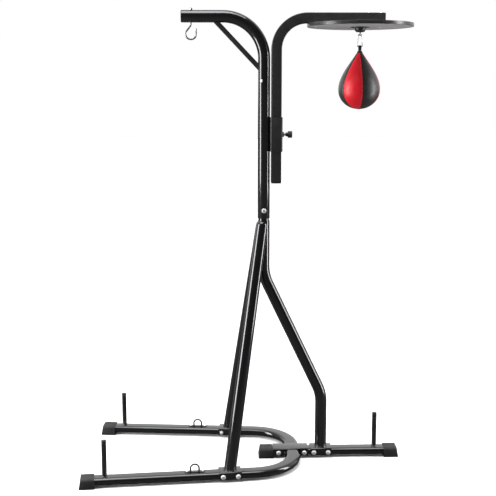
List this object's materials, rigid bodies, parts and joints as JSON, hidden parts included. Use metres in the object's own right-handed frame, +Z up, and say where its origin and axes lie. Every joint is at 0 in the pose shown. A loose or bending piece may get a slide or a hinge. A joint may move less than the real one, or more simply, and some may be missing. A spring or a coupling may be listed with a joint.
{
  "type": "boxing stand with speed bag platform",
  "caption": "Free-standing boxing stand with a round speed bag board on a sliding arm, a leather speed bag on a swivel, a heavy-bag hook arm and a plate-weighted base.",
  "frame": {"origin": "centre of the stand's footprint on the floor", "axes": "+X along the rear base tube, from the heavy-bag arm towards the speed bag; +Y across the base; +Z up"},
  "size_m": [1.5556, 0.7786, 2.1688],
  "materials": {
    "gloss_black_paint": "gloss powder coat",
    "matt_black_paint": "matt powder coat",
    "zinc_steel": "bright zinc plate",
    "chrome": "polished",
    "black_rubber": "matt moulded",
    "black_plastic": "fine texture",
    "board_face": "light grey laminate",
    "board_edge": "dark edge band",
    "bag_leather": "satin, alternating red and black panels",
    "black_leather": "satin"
  },
  "bodies": {
    "frame": {"base_u_tube": "gloss_black_paint", "rear_stub_tube": "gloss_black_paint", "rear_base_tube": "gloss_black_paint", "crossing_saddle": "gloss_black_paint", "leg_saddle_rear": "gloss_black_paint", "leg_saddle_near": "gloss_black_paint", "leg_saddle_far": "gloss_black_paint", "peg_near": "gloss_black_paint", "peg_far": "gloss_black_paint", "peg_rear": "gloss_black_paint", "pad_eye_near": "gloss_black_paint", "pad_eye_far": "gloss_black_paint", "rear_leg": "gloss_black_paint", "front_leg_near": "gloss_black_paint", "front_leg_far": "gloss_black_paint", "neck_spigot": "gloss_black_paint", "main_post": "gloss_black_paint", "arm_brace": "gloss_black_paint", "height_sleeve": "matt_black_paint", "crossing_bolt_inner": "zinc_steel", "crossing_bolt_outer": "zinc_steel", "saddle_bolt_rear_1": "zinc_steel", "saddle_bolt_rear_2": "zinc_steel", "saddle_bolt_near_1": "zinc_steel", "saddle_bolt_near_2": "zinc_steel", "saddle_bolt_far_1": "zinc_steel", "saddle_bolt_far_2": "zinc_steel", "pad_eye_screw_near_1": "zinc_steel", "pad_eye_screw_near_2": "zinc_steel", "pad_eye_screw_far_1": "zinc_steel", "pad_eye_screw_far_2": "zinc_steel", "neck_bolt": "zinc_steel", "post_screw": "zinc_steel", "foot_near": "black_rubber", "foot_far": "black_rubber", "foot_rear_in": "black_rubber", "foot_rear_out": "black_rubber", "peg_cap_near": "black_plastic", "peg_cap_far": "black_plastic", "peg_cap_rear": "black_plastic", "arm_end_plug": "black_plastic"},
    "bag_hook": {"heavy_bag_hook": "zinc_steel", "hook_nut": "zinc_steel"},
    "clamp_foot": {"clamp_pad": "black_plastic"},
    "clamp_handle": {"clamp_screw": "zinc_steel", "clamp_knob": "black_plastic"},
    "sliding_arm": {"speed_bag_arm": "matt_black_paint", "arm_tip_plug": "black_plastic", "arm_tail_plug": "black_plastic", "rebound_board": "board_face", "board_rim": "board_edge", "board_bolt_inner": "zinc_steel", "board_bolt_middle": "zinc_steel", "board_bolt_outer": "zinc_steel", "swivel_housing": "black_plastic"},
    "swivel": {"swivel_stem": "chrome"},
    "bail": {"bag_link": "chrome"},
    "bag": {"bag_loop": "black_leather", "bag_cover": "bag_leather", "bag_bladder": "black_rubber"}
  },
  "joints": [
    {"name": "arm_height", "type": "slide", "parent": "frame", "child": "sliding_arm", "axis": [0, 0, 1], "range_m": [-0.3, 0.1]},
    {"name": "clamp_feed", "type": "slide", "parent": "frame", "child": "clamp_foot", "axis": [1, 0, 0], "range_m": [0, 0.00525]},
    {"name": "clamp_knob_turn", "type": "hinge", "parent": "clamp_foot", "child": "clamp_handle", "pos_m": [0.16893, 0, 1.589], "axis": [1, 0, 0], "range_deg": [0, 1080]},
    {"name": "swivel_spin", "type": "hinge", "parent": "sliding_arm", "child": "swivel", "pos_m": [0.53183, 0, 2.0439], "axis": [0, 0, 1], "continuous": true},
    {"name": "bag_swing", "type": "hinge", "parent": "swivel", "child": "bail", "pos_m": [0.53183, 0, 2.0439], "axis": [0, 1, 0], "range_deg": [-65, 65]},
    {"name": "bag_tilt", "type": "hinge", "parent": "bail", "child": "bag", "pos_m": [0.53183, 0, 1.9939], "axis": [1, 0, 0], "range_deg": [-40, 40]},
    {"name": "hook_swivel", "type": "hinge", "parent": "frame", "child": "bag_hook", "pos_m": [-0.25117, 0, 2.05], "axis": [0, 0, 1], "continuous": true}
  ],
  "couplings": [
    {"joint": "clamp_knob_turn", "follows": "clamp_feed", "rad_per_m": 3590.4}
  ]
}
